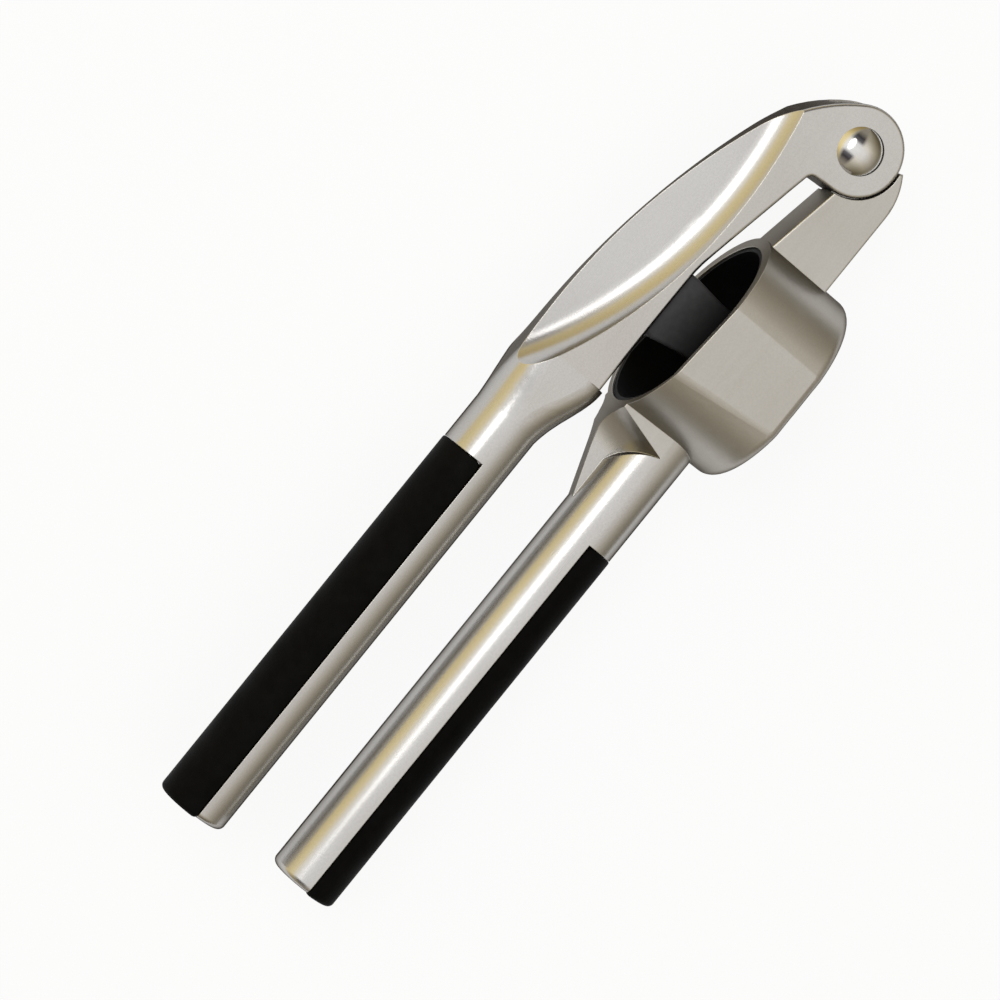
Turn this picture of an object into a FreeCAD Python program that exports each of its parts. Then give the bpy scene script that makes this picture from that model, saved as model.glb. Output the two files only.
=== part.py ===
import FreeCAD, Part

import math
import os

import Sketcher

# Garlic press: two cast handles on one hinge, a perforated cup in the
# hopper, and a plunger fixed under the lever.
# Frame: the press lies on the flat side of the hopper (Z = 0).  +X runs
# along the handles towards the hinge, +Y points from the hopper to the
# lever, +Z is the hinge axis.  Lengths are in mm.

doc = FreeCAD.newDocument("garlic_press")
sheet = doc.addObject("Spreadsheet::Sheet", "Sizes")

SIZES = [
    # name, value, what it is
    ("mid_height", 18.2, "half width of the hopper: height of the mid plane"),
    ("handle_radius", 7.4, "radius of both round handles"),
    ("handle_edge", 1.4, "rounding of the handle ends"),
    ("lever_axis_y", 27.55, "height of the lever handle axis above the lower one"),
    ("lever_end", 136.1, "from the origin back to the end of the lever"),
    ("base_end", 134.9, "from the origin back to the end of the lower handle"),
    ("grip_depth", 2.0, "depth of the recess for a grip"),
    ("grip_proud", 0.15, "how far a grip stands above the metal"),
    ("lever_grip_front", 47.6, "from the origin back to the front of the upper grip"),
    ("base_grip_front", 46.7, "from the origin back to the front of the lower grip"),
    ("grip_past_end", 0.3, "how far a grip passes the metal end"),
    ("grip_corner", 2.0, "rounding of the four corners of a grip"),
    ("grip_edge", 0.4, "rounding of the outer edge of a grip"),
    ("grip_gap", 0.05, "clearance around a grip in its recess"),
    ("neck_start", 39.0, "from the origin back to the start of the lever neck"),
    ("neck_mid", 31.2, "from the origin back to the middle of the neck"),
    ("neck_finish", 22.5, "from the origin back to the end of the neck"),
    ("neck_lap", 4.0, "how far the round handle and the neck reach into each other"),
    ("neck_sunk", 0.12, "how far the start of the neck lies inside the round handle"),
    ("neck_mid_half_h", 8.4, "half height of the neck at its middle"),
    ("neck_mid_half_w", 7.8, "half width of the neck at its middle"),
    ("neck_mid_y", 26.95, "height of the neck axis at its middle"),
    ("neck_end_half_h", 9.35, "half height of the neck at its end"),
    ("neck_end_half_w", 8.4, "half width of the neck at its end"),
    ("neck_end_y", 26.05, "height of the neck axis at its end"),
    ("neck_mid_corner", 7.0, "corner radius of the neck at its middle"),
    ("neck_end_corner", 5.2, "corner radius of the neck at its end"),
    ("head_half_w", 8.4, "half width of the lever head where it meets the neck"),
    ("boss_half_w", 5.4, "half width of the boss and of the head beside it"),
    ("head_back", 21.9, "from the origin back to the step under the neck"),
    ("head_crown_x", 15.5, "from the origin back to the highest point of the lever"),
    ("head_crown_y", 35.4, "highest point of the lever"),
    ("head_top_r", 151.7, "radius of the long arc on top of the lever"),
    ("head_nose_r", 34.0, "radius of the arc that leads into the boss"),
    ("head_low_back_y", 18.6, "underside of the lever at the neck"),
    ("head_low_y", 18.0, "underside of the lever over the hopper"),
    ("head_bend_x", 9.0, "where the underside starts to drop"),
    ("head_drop_x", 37.3, "inner corner of the underside next to the boss"),
    ("head_drop_y", 12.0, "height of that corner"),
    ("head_edge", 0.7, "rounding along both sides of the lever head"),
    ("bend_r", 30.0, "radius of the bend in the underside"),
    ("corner_r", 1.5, "radius of the inner corner next to the boss"),
    ("pin_x", 47.1, "hinge axis"),
    ("pin_y", 7.1, "hinge axis"),
    ("boss_r", 9.3, "radius of the boss on the lever"),
    ("pin_r", 2.5, "radius of the hinge pin"),
    ("pin_clear", 0.05, "clearance of the pin in its bores"),
    ("dome_r", 4.9, "radius of the domed heads of the pin"),
    ("dome_height", 2.1, "height of the domed heads"),
    ("cap_bore_depth", 1.2, "depth of the bore in the far cap"),
    ("leaf_x", 24.5, "axis of the round cutter that shapes the leaf recess"),
    ("leaf_y", 113.7, "axis of the round cutter that shapes the leaf recess"),
    ("panel_r", 89.8, "radius where the flat panel of the leaf meets the hollow"),
    ("panel_h", 2.1, "half thickness of the web at that line"),
    ("panel_reach", 12.0, "how far the leaf cutter reaches inwards from that line"),
    ("cove_r", 7.6, "radius of the hollow around the leaf"),
    ("cove_from", 10.0, "slope of the panel, where the hollow starts, degrees"),
    ("cove_to", 80.0, "slope where the hollow ends, degrees"),
    ("cutter_out", 4.0, "how far the leaf cutter stands out of the side face"),
    ("beyond", 30.0, "how far a cutting shape reaches past the metal"),
    ("roof_step", 0.6, "step from the leaf cutter to the roof of the channel"),
    ("channel_half_w", 5.0, "half width of the channel under the lever"),
    ("channel_back", 19.6, "from the origin back to the start of the channel"),
    ("channel_front", 30.0, "from the origin to the end of the channel"),
    ("tongue_half_w", 3.0, "half width of the tongue between the cheeks"),
    ("cheek_gap", 0.1, "clearance beside the tongue"),
    ("eye_r", 8.4, "radius of the eye of the tongue"),
    ("eye_gap", 0.8, "clearance around the eye"),
    ("slot_from", 185.0, "first edge of the opening between the cheeks, degrees"),
    ("slot_to", 425.0, "last edge of the opening between the cheeks, degrees"),
    ("arm_half_w", 5.2, "half width of the arm"),
    ("shoulder_r", 9.65, "radius of the hollow shoulder of the arm"),
    ("arm_top_y", 9.5, "height of the arm where it leaves the hopper"),
    ("arm_top_end_x", 38.4, "end of the straight upper edge of the arm"),
    ("arm_top_end_y", 5.7, "end of the straight upper edge of the arm"),
    ("arm_low_y", 5.9, "how far the lower edge of the arm lies below the origin"),
    ("arm_low_end_x", 40.5, "end of the straight lower edge of the arm"),
    ("horn_x", 49.3, "tip of the arm behind the boss"),
    ("horn_y", 3.0, "how far that tip lies below the origin"),
    ("arm_edge", 0.5, "rounding of the edges of the arm"),
    ("hopper_back", 22.0, "from the origin back to the handle end of the hopper"),
    ("hopper_front", 22.3, "from the origin to the hinge end of the hopper"),
    ("hopper_lean", 0.8, "how far the handle end leans in towards the bottom"),
    ("facet_back", 10.5, "from the origin back to the edge of the flat side, top"),
    ("facet_back_low", 7.2, "from the origin back to the edge of the flat, bottom"),
    ("facet_front", 6.4, "from the origin to the other edge of the flat side"),
    ("hopper_low", 12.7, "from the origin down to the bottom of the hopper"),
    ("hopper_edge", 2.3, "rounding of the bottom edge"),
    ("flat_trim", 0.04, "skin milled off each side so that the flats are true"),
    ("facet_blend", 5.0, "rounding of the edges of the flat sides"),
    ("mouth_y", 11.0, "height of the mouth over the origin"),
    ("mouth_slope", 4.0, "slope of the mouth towards the hinge, degrees"),
    ("wall_side", 1.6, "thickness of the flat sides of the hopper"),
    ("wall_back", 1.1, "thickness of the handle end of the hopper"),
    ("wall_front", 1.3, "thickness of the hinge end of the hopper"),
    ("chamber_lean", 1.6, "how far the chamber leans at the handle end"),
    ("chamber_round", 2.5, "how much shorter the flats of the chamber are, hinge end"),
    ("chamber_full", 1.0, "how much longer the flats of the chamber are, handle end"),
    ("floor", 2.4, "thickness of the floor that carries the cup"),
    ("ledge", 3.0, "width of the ledge around the window in the floor"),
    ("cup_gap", 0.05, "clearance of the cup in the hopper"),
    ("cup_wall", 0.9, "wall of the cup"),
    ("cup_base", 1.2, "thickness of the perforated base of the cup"),
    ("cup_below_rim", 0.4, "how far the cup ends below the mouth"),
    ("hole_r", 1.05, "radius of one strainer hole"),
    ("hole_pitch", 3.3, "distance between strainer holes"),
    ("hole_margin", 2.2, "metal kept between the holes and the wall of the cup"),
    ("foot_gap", 0.4, "clearance between the plunger and the wall of the cup"),
    ("foot_swing", 1.3, "extra clearance at the handle end for the swing"),
    ("foot_above_base", 0.5, "space left under the closed plunger"),
    ("foot_height", 3.0, "thickness of the plunger foot"),
    ("foot_edge", 0.6, "rounding of the upper edge of the foot"),
    ("stem_half_w", 4.9, "half width of the plunger stem"),
    ("stem_top_back", 7.5, "from the origin back to the stem, at its top"),
    ("stem_top_front", 7.4, "from the origin to the stem, at its top"),
    ("stem_waist_back", 6.0, "from the origin back to the stem, at its waist"),
    ("stem_waist_front", 6.7, "from the origin to the stem, at its waist"),
    ("stem_waist_y", 9.0, "height of the waist of the stem"),
    ("stem_top_y", 18.3, "top of the stem, inside the channel"),
    ("stem_edge", 0.8, "rounding of the upright edges of the stem"),
    ("tenon_half_l", 4.5, "half length of the tenon on top of the stem"),
    ("tenon_half_w", 1.6, "half width of the tenon"),
    ("tenon_top_y", 24.4, "top of the tenon"),
    ("tenon_gap", 0.03, "clearance around the tenon in its socket"),
    ("nose_axis_x", 35.0, "from the origin back to the axis of the rounded bar end"),
    ("nose_axis_y", 3.0, "how far that axis lies below the origin"),
    ("nose_r", 10.7, "radius of the rounded end of the lower bar, seen from the side"),
    ("joint_lap", 1.0, "how far pieces of one casting reach into each other"),
    ("web_knee", 26.5, "from the origin back to the knee in the top of the web"),
    ("web_top_back", 41.5, "from the origin back to the start of the web"),
    ("web_top_y", 12.7, "height of the web where it meets the hopper"),
    ("scoop_r", 9.4, "radius of the scooped sides of the web"),
    ("scoop_x", 33.6, "from the origin back to the axis of the scoop, low end"),
    ("scoop_tilt", 15.0, "tilt of the scoop axis, degrees"),
    ("scoop_web", 1.6, "half width left between the two scoops"),
]

row = 0
size = {}
for name, value, note in SIZES:
    row += 1
    sheet.set("A%d" % row, name)
    sheet.set("B%d" % row, str(value))
    sheet.setAlias("B%d" % row, name)
    sheet.set("C%d" % row, note)
    size[name] = value


def rule(name, formula, note):
    """Add a size that follows from the others."""
    global row
    row += 1
    sheet.set("A%d" % row, name)
    sheet.set("B%d" % row, "=" + formula)
    sheet.setAlias("B%d" % row, name)
    sheet.set("C%d" % row, note)
    sheet.recompute()
    size[name] = float(sheet.get(name))




# ---------------------------------------------------------------- helpers

def bind(thing, **rules):
    """Tie properties of one object to cells of the sheet."""
    for prop, formula in rules.items():
        thing.setExpression(prop.replace("__", "."), formula)


def cell(formula):
    """Write size names in a formula the way FreeCAD reads them."""
    out = ""
    word = ""
    for char in formula + " ":
        if char.isalnum() or char == "_":
            word += char
            continue
        out += "Sizes." + word if word in size else word
        out += char
        word = ""
    return out.strip()


def worth(formula):
    """Work out a formula with the present sizes."""
    scratch.set("A1", "=" + cell(formula))
    scratch.recompute()
    found = scratch.get("A1")
    return float(getattr(found, "Value", found))


def body(name):
    return doc.addObject("PartDesign::Body", name)


def sketch(owner, name, role, offset=None):
    """Sketch on an origin plane of its own body, moved along its normal."""
    made = owner.newObject("Sketcher::SketchObject", name)
    for plane in owner.Origin.OriginFeatures:
        if plane.Role == role:
            made.AttachmentSupport = [(plane, "")]
    made.MapMode = "FlatFace"
    if offset:
        made.setExpression("AttachmentOffset.Base.z", cell(offset))
    return made


def pin_point(owner, index, which, x, y):
    """Fix one point of a sketch at the two given formulas."""
    for kind, formula in (("DistanceX", x), ("DistanceY", y)):
        amount = worth(formula)
        number = owner.addConstraint(
            Sketcher.Constraint(kind, -1, 1, index, which, amount)
        )
        owner.setExpression("Constraints[%d]" % number, cell(formula))


def outline(owner, steps):
    """Draw a closed outline.

    Each step is ("line", x, y) or ("arc", x, y, radius, turn): the point
    where the piece ends, and for an arc its radius and +1 for a centre on
    the left of the way round, -1 for one on the right.
    """
    points = [(worth(step[1]), worth(step[2])) for step in steps]
    count = len(steps)
    ids = []
    ends = []
    for index, step in enumerate(steps):
        start = FreeCAD.Vector(*points[index - 1], 0)
        finish = FreeCAD.Vector(*points[index], 0)
        if step[0] == "line":
            ids.append(owner.addGeometry(Part.LineSegment(start, finish), False))
            ends.append((1, 2))
            continue
        radius = worth(step[3])
        chord = finish - start
        half = chord.Length / 2.0
        depth = math.sqrt(max(radius * radius - half * half, 0.0))
        left = FreeCAD.Vector(-chord.y, chord.x, 0).normalize()
        centre = (start + finish) * 0.5 + left * depth * step[4]
        circle = Part.Circle(centre, FreeCAD.Vector(0, 0, 1), radius)
        first = math.atan2(start.y - centre.y, start.x - centre.x)
        last = math.atan2(finish.y - centre.y, finish.x - centre.x)
        if step[4] > 0:
            ids.append(owner.addGeometry(Part.ArcOfCircle(circle, first, last), False))
            ends.append((1, 2))
        else:
            ids.append(owner.addGeometry(Part.ArcOfCircle(circle, last, first), False))
            ends.append((2, 1))
    for index in range(count):
        after = (index + 1) % count
        owner.addConstraint(Sketcher.Constraint(
            "Coincident", ids[index], ends[index][1], ids[after], ends[after][0]))
    for index, step in enumerate(steps):
        pin_point(owner, ids[index], ends[index][1], step[1], step[2])
        if step[0] == "arc":
            number = owner.addConstraint(
                Sketcher.Constraint("Radius", ids[index], worth(step[3])))
            owner.setExpression("Constraints[%d]" % number, cell(step[3]))
    return ids


def circle(owner, x, y, radius):
    """Draw one circle."""
    made = Part.Circle(
        FreeCAD.Vector(worth(x), worth(y), 0), FreeCAD.Vector(0, 0, 1), worth(radius))
    index = owner.addGeometry(made, False)
    pin_point(owner, index, 3, x, y)
    number = owner.addConstraint(Sketcher.Constraint("Radius", index, worth(radius)))
    owner.setExpression("Constraints[%d]" % number, cell(radius))


def pad(owner, profile, length, symmetric=False, reverse=False):
    """Give a sketch its thickness."""
    made = owner.newObject("PartDesign::Pad", profile.Name + "_pad")
    made.Profile = profile
    if symmetric:
        made.SideType = "Symmetric"
    made.Reversed = reverse
    made.setExpression("Length", cell(length))
    owner.Tip = made
    return made


def pocket(owner, profile, length):
    """Cut a sketch out of its body, both ways from its plane."""
    made = owner.newObject("PartDesign::Pocket", profile.Name + "_pocket")
    made.Profile = profile
    made.SideType = "Symmetric"
    made.setExpression("Length", cell(length))
    owner.Tip = made
    return made


def loft(owner, name, sections):
    """Join sections by straight lines."""
    made = owner.newObject("PartDesign::AdditiveLoft", name)
    made.Profile = sections[0]
    made.Sections = sections[1:]
    made.Ruled = True
    owner.Tip = made
    return made


def chosen(shape, test):
    """Names of the edges whose middle point and direction pass a test."""
    names = []
    for number, edge in enumerate(shape.Edges, 1):
        middle = edge.valueAt((edge.FirstParameter + edge.LastParameter) / 2.0)
        if test(edge, middle):
            names.append("Edge%d" % number)
    return names


def fillet(owner, base, name, radius, test):
    """Round the edges of a feature that pass a test."""
    doc.recompute()
    made = owner.newObject("PartDesign::Fillet", name)
    names = chosen(base.Shape, test)
    if not names:
        raise RuntimeError("no edges for " + name)
    made.Base = (base, names)
    made.setExpression("Radius", cell(radius))
    owner.Tip = made
    return made


def flat_at(z):
    """Test for edges that lie flat at one height."""
    def test(edge, middle):
        ends = [vertex.Point.z for vertex in edge.Vertexes]
        return all(abs(end - z) < 1e-4 for end in ends + [middle.z])
    return test


def box(name, x, y, z, dx, dy, dz):
    made = doc.addObject("Part::Box", name)
    bind(made, Length=cell(dx), Width=cell(dy), Height=cell(dz))
    bind(made, Placement__Base__x=cell(x), Placement__Base__y=cell(y),
         Placement__Base__z=cell(z))
    return made


def rod(name, along, x, y, z, radius, length, angle="360"):
    """Cylinder along X, Y or Z from a start point."""
    made = doc.addObject("Part::Cylinder", name)
    bind(made, Radius=cell(radius), Height=cell(length), Angle=cell(angle))
    turn = {
        "X": FreeCAD.Rotation(FreeCAD.Vector(1, 1, 1), 120),
        "Y": FreeCAD.Rotation(FreeCAD.Vector(1, 0, 0), -90),
        "Z": FreeCAD.Rotation(),
    }[along]
    made.Placement = FreeCAD.Placement(FreeCAD.Vector(), turn)
    bind(made, Placement__Base__x=cell(x), Placement__Base__y=cell(y),
         Placement__Base__z=cell(z))
    return made


def cut(name, base, tool):
    made = doc.addObject("Part::Cut", name)
    made.Base = base
    made.Tool = tool
    return made


def fuse(name, *parts):
    made = doc.addObject("Part::MultiFuse", name)
    made.Shapes = list(parts)
    made.Refine = True
    return made


def common(name, *parts):
    made = doc.addObject("Part::MultiCommon", name)
    made.Shapes = list(parts)
    return made


def mirror(name, source):
    """Copy of a shape on the other side of the mid plane."""
    made = doc.addObject("Part::Mirroring", name)
    made.Source = source
    made.Normal = FreeCAD.Vector(0, 0, 1)
    made.setExpression("Base.z", cell("mid_height"))
    return made


scratch = doc.addObject("Spreadsheet::Sheet", "Working")
doc.recompute()

# ------------------------------------------------- sizes that follow

rule("arc_centre_y", "head_crown_y - head_top_r", "centre of the long arc on top")
rule("gap_x", "pin_x + head_crown_x", "hinge to crown, along X")
rule("gap_y", "pin_y - arc_centre_y", "hinge to arc centre, along Y")
rule("gap_d", "sqrt(gap_x ^ 2 + gap_y ^ 2)", "hinge to arc centre")
rule("nose_in", "head_nose_r - boss_r", "hinge to centre of the nose arc")
rule("nose_out", "head_top_r - head_nose_r", "arc centre to centre of the nose arc")
rule("nose_a", "(gap_d ^ 2 + nose_out ^ 2 - nose_in ^ 2) / (2 * gap_d)",
     "foot of the nose centre on the line between the two centres")
rule("nose_h", "sqrt(max(nose_out ^ 2 - nose_a ^ 2; 0.0001))",
     "distance of the nose centre from that line")
rule("nose_x", "(nose_a * gap_x - nose_h * gap_y) / gap_d - head_crown_x",
     "centre of the nose arc")
rule("nose_y", "arc_centre_y + (nose_a * gap_y + nose_h * gap_x) / gap_d",
     "centre of the nose arc")
rule("top_end_x", "-head_crown_x + (nose_x + head_crown_x) * head_top_r / nose_out",
     "end of the long arc")
rule("top_end_y", "arc_centre_y + (nose_y - arc_centre_y) * head_top_r / nose_out",
     "end of the long arc")
rule("nose_end_x", "nose_x + (pin_x - nose_x) * head_nose_r / nose_in",
     "end of the nose arc")
rule("nose_end_y", "nose_y + (pin_y - nose_y) * head_nose_r / nose_in",
     "end of the nose arc")
rule("taper_x", "pin_x - dome_r - cheek_gap", "where the taper of the lever head ends")
rule("taper_r", "((taper_x + head_back) ^ 2 + (head_half_w - boss_half_w) ^ 2) / "
     "(2 * (head_half_w - boss_half_w))", "radius of the hollow sides of the head")
rule("cove_end_r", "panel_r + cove_r * (sin(cove_to * 1 deg) - sin(cove_from * 1 deg))",
     "radius where the hollow of the leaf ends")
rule("cove_end_h", "panel_h + cove_r * (cos(cove_from * 1 deg) - cos(cove_to * 1 deg))",
     "height of that line over the mid plane")
rule("panel_in_h", "panel_h - tan(cove_from * 1 deg) * panel_reach",
     "half thickness at the inner end of the cutter")
rule("horn_r", "((horn_x - arm_low_end_x) ^ 2 + (arm_low_y - horn_y) ^ 2) / "
     "(2 * (arm_low_y - horn_y))", "radius of the curve behind the boss")
rule("floor_y", "floor - hopper_low", "upper side of the hopper floor")
rule("foot_y", "floor_y + cup_base + foot_above_base", "lower side of the plunger foot")
rule("inner_back", "hopper_back - wall_back", "chamber, handle end at the mouth")
rule("inner_front", "hopper_front - wall_front", "chamber, hinge end")
rule("inner_half_w", "mid_height - wall_side", "chamber, half width")
rule("top_level", "mouth_y + 4", "level where the hopper is drawn before its mouth is cut")
doc.recompute()

# ------------------------------------------------------ shared shapes


def oval(owner, name, level, back, front, half_w, flat_back, flat_front):
    """Section of the hopper family: two flat sides and two round ends."""
    made = sketch(owner, name, "XZ_Plane", "-(%s)" % level)
    low = "mid_height - (%s)" % half_w
    high = "mid_height + (%s)" % half_w
    bulge_f = "((%s) - (%s))" % (front, flat_front)
    bulge_b = "((%s) - (%s))" % (back, flat_back)
    radius_f = "(%s ^ 2 + (%s) ^ 2) / (2 * %s)" % (bulge_f, half_w, bulge_f)
    radius_b = "(%s ^ 2 + (%s) ^ 2) / (2 * %s)" % (bulge_b, half_w, bulge_b)
    outline(made, [
        ("line", flat_front, low),
        ("arc", flat_front, high, radius_f, 1),
        ("line", "-(%s)" % flat_back, high),
        ("arc", "-(%s)" % flat_back, low, radius_b, 1),
    ])
    return made


def hopper_loft(name, inset, low_level):
    """Solid with the form of the chamber, drawn smaller by an inset."""
    owner = body(name)
    front = "inner_front - %s" % inset
    back = "inner_back - %s" % inset
    half_w = "inner_half_w - %s" % inset
    top = oval(owner, name + "_top", "top_level", back, front, half_w,
               "facet_back + chamber_full", "facet_front - chamber_round")
    low = oval(owner, name + "_low", low_level, back + " - chamber_lean", front,
               half_w, "facet_back_low", "facet_front - chamber_round")
    loft(owner, name + "_loft", [top, low])
    return owner


def above_mouth(name, drop):
    """Block that fills the space over the sloping mouth."""
    made = doc.addObject("Part::Box", name)
    bind(made, Length=cell("4 * hopper_front"), Width=cell("2 * hopper_front"),
         Height=cell("2 * mid_height + 20"))
    made.Placement.Rotation = FreeCAD.Rotation(FreeCAD.Vector(0, 0, -1), 5)
    bind(made, Placement__Rotation__Angle=cell("mouth_slope"),
         Placement__Base__x=cell("-2 * hopper_front * cos(mouth_slope * 1 deg)"),
         Placement__Base__y=cell(
             "mouth_y - (%s) + 2 * hopper_front * sin(mouth_slope * 1 deg)" % drop),
         Placement__Base__z=cell("-10"))
    return made


def round_box(owner, name, x, y, half_h, half_w, corner):
    """Section across a handle: a box with rounded corners."""
    made = sketch(owner, name, "YZ_Plane", x)
    right = "(%s) + (%s)" % (y, half_h)
    left = "(%s) - (%s)" % (y, half_h)
    high = "mid_height + (%s)" % half_w
    low = "mid_height - (%s)" % half_w
    outline(made, [
        ("line", right, "%s - (%s)" % (high, corner)),
        ("arc", "%s - (%s)" % (right, corner), high, corner, 1),
        ("line", "%s + (%s)" % (left, corner), high),
        ("arc", left, "%s - (%s)" % (high, corner), corner, 1),
        ("line", left, "%s + (%s)" % (low, corner)),
        ("arc", "%s + (%s)" % (left, corner), low, corner, 1),
        ("line", "%s - (%s)" % (right, corner), low),
        ("arc", right, "%s + (%s)" % (low, corner), corner, 1),
    ])
    return made


def round_bar(name, y, end, front):
    """Round handle with its far end rounded."""
    owner = body(name)
    profile = sketch(owner, name + "_section", "YZ_Plane", "-(%s)" % end)
    circle(profile, y, "mid_height", "handle_radius")
    bar = pad(owner, profile, "(%s) - (%s)" % (end, front))
    back = -worth(end)
    fillet(owner, bar, name + "_round_end", "handle_edge",
           lambda edge, middle: abs(middle.x - back) < 1e-4 and len(edge.Vertexes) == 1)
    return owner


def grip_recess(name, y, end, front, side):
    """Outer half of a handle, down to the core that carries the grip."""
    start = "-(%s) - beyond" % end
    length = "(%s) + beyond - %s" % (end, front)
    low = "(%s) - grip_gap" % y
    if side < 0:
        low = "(%s) + grip_gap - beyond" % y
    half = box(name + "_half", start, low, "mid_height - beyond", length, "beyond",
               "2 * beyond")
    core = rod(name + "_core", "X", start, y, "mid_height",
               "handle_radius - grip_depth - grip_gap", length)
    return cut(name, half, core)


def grip(name, y, end, front, side):
    """Rubber inlay: half a tube over the outer half of a handle."""
    owner = body(name + "_body")
    profile = sketch(owner, name + "_section", "YZ_Plane",
                     "-(%s) - grip_past_end" % end)
    inner = "(handle_radius - grip_depth)"
    outer = "(handle_radius + grip_proud)"
    far = "(%s) %s " % (y, "+" if side > 0 else "-")
    outline(profile, [
        ("arc", far + outer, "mid_height", outer, side),
        ("arc", y, "mid_height + " + outer, outer, side),
        ("line", y, "mid_height + " + inner),
        ("arc", far + inner, "mid_height", inner, -side),
        ("arc", y, "mid_height - " + inner, inner, -side),
        ("line", y, "mid_height - " + outer),
    ])
    bar = pad(owner, profile, "(%s) + grip_past_end - %s - grip_gap" % (end, front))
    level = worth(y)
    reach = worth("handle_radius")
    rounded = fillet(
        owner, bar, name + "_corners", "grip_corner",
        lambda edge, middle: abs(middle.y - level) < 1e-3
        and abs(edge.valueAt(edge.FirstParameter).x
                - edge.valueAt(edge.LastParameter).x) < 1e-3)
    fillet(
        owner, rounded, name + "_soft_edge", "grip_edge",
        lambda edge, middle: (middle.y - level) ** 2
        + (middle.z - worth("mid_height")) ** 2 > (reach - 0.5) ** 2
        and not (abs(middle.y - level - side * reach) < 1.0 and edge.Length < 1.0))
    return owner


# ------------------------------------------------------ lever casting

lever_bar = round_bar("lever_bar", "lever_axis_y", "lever_end",
                      "(neck_start - neck_lap)")

neck = body("lever_neck")
neck_sections = [
    round_box(neck, "neck_a", "-neck_start - neck_lap", "lever_axis_y",
              "handle_radius - neck_sunk", "handle_radius - neck_sunk",
              "handle_radius - 2 * neck_sunk"),
    round_box(neck, "neck_b", "-neck_start", "lever_axis_y",
              "handle_radius - neck_sunk", "handle_radius - neck_sunk",
              "handle_radius - 2 * neck_sunk"),
    round_box(neck, "neck_c", "-neck_mid", "neck_mid_y",
              "neck_mid_half_h", "neck_mid_half_w", "neck_mid_corner"),
    round_box(neck, "neck_d", "-neck_finish", "neck_end_y",
              "neck_end_half_h", "neck_end_half_w", "neck_end_corner"),
    round_box(neck, "neck_e", "-head_back", "neck_end_y",
              "neck_end_half_h", "neck_end_half_w", "neck_end_corner"),
]
neck_loft = loft(neck, "neck_loft", neck_sections)
neck_loft.Ruled = False

head = body("lever_head")
profile = sketch(head, "head_profile", "XY_Plane", "mid_height")
outline(profile, [
    ("line", "head_bend_x", "head_low_y"),
    ("line", "head_drop_x", "head_drop_y"),
    ("line", "pin_x - boss_r", "pin_y"),
    ("arc", "pin_x", "pin_y - boss_r", "boss_r", 1),
    ("arc", "nose_end_x", "nose_end_y", "boss_r", 1),
    ("arc", "top_end_x", "top_end_y", "head_nose_r", 1),
    ("arc", "-head_crown_x", "head_crown_y", "head_top_r", 1),
    ("line", "-head_back", "head_crown_y"),
    ("line", "-head_back", "head_low_back_y"),
])
block = pad(head, profile, "2 * head_half_w", symmetric=True)


def upright_at(x, y):
    """Test for upright edges through one point."""
    def test(edge, middle):
        return abs(middle.x - x) < 1e-3 and abs(middle.y - y) < 1e-3
    return test


bend = fillet(head, block, "head_bend", "bend_r",
              upright_at(size["head_bend_x"], size["head_low_y"]))
corner = fillet(head, bend, "head_corner", "corner_r",
                upright_at(size["head_drop_x"], size["head_drop_y"]))
profile = sketch(head, "head_taper_profile", "XZ_Plane")
for sign, turn in (("+", 1), ("-", -1)):
    outside = "mid_height %s (head_half_w + cutter_out)" % sign
    outline(profile, [
        ("line", "-head_back", outside),
        ("line", "-head_back", "mid_height %s head_half_w" % sign),
        ("arc", "taper_x", "mid_height %s boss_half_w" % sign, "taper_r", turn),
        ("line", "pin_x + beyond", "mid_height %s boss_half_w" % sign),
        ("line", "pin_x + beyond", outside),
    ])
taper = pocket(head, profile, "4 * beyond")


def half_width_at(x):
    """Half width of the tapered head at one place."""
    before = size["taper_x"] - x
    if before <= 0:
        return size["boss_half_w"]
    hollow = size["taper_r"] - math.sqrt(size["taper_r"] ** 2 - before ** 2)
    return size["boss_half_w"] + hollow


def side_edge(edge, middle):
    """Edges along both sides of the head, but not across them."""
    spots = [vertex.Point for vertex in edge.Vertexes] + [middle]
    if all(abs(spot.x - middle.x) < 1e-3 for spot in spots):
        return False
    return all(abs(abs(spot.z - size["mid_height"]) - half_width_at(spot.x)) < 1e-2
               for spot in spots)


sides = fillet(head, taper, "head_sides", "head_edge", side_edge)

leaf = body("leaf_cutter")
profile = sketch(leaf, "leaf_profile", "XZ_Plane", "-leaf_y")
axis = profile.addGeometry(Part.LineSegment(
    FreeCAD.Vector(size["leaf_x"], 0, 0),
    FreeCAD.Vector(size["leaf_x"], size["mid_height"], 0)), True)
pin_point(profile, axis, 1, "leaf_x", "0 * leaf_x")
pin_point(profile, axis, 2, "leaf_x", "mid_height")
outline(profile, [
    ("line", "leaf_x + panel_r", "mid_height + panel_h"),
    ("arc", "leaf_x + cove_end_r", "mid_height + cove_end_h", "cove_r", 1),
    ("line", "leaf_x + cove_end_r", "mid_height + head_half_w + cutter_out"),
    ("line", "leaf_x + panel_r - panel_reach", "mid_height + head_half_w + cutter_out"),
    ("line", "leaf_x + panel_r - panel_reach", "mid_height + panel_in_h"),
])
turned = leaf.newObject("PartDesign::Revolution", "leaf_turned")
turned.Profile = profile
turned.ReferenceAxis = (profile, ["Axis0"])
turned.Angle = 360
leaf.Tip = turned
doc.recompute()
leaf_far = mirror("leaf_cutter_far", leaf)


channel_box = box("channel_box", "-channel_back", "arm_top_y",
                  "mid_height - channel_half_w", "channel_back + channel_front",
                  "stem_top_y", "2 * channel_half_w")
channel_roof = rod("channel_roof", "Z", "leaf_x", "leaf_y", "0",
                   "cove_end_r + roof_step", "2 * mid_height")
channel = cut("channel", channel_box, channel_roof)

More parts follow.
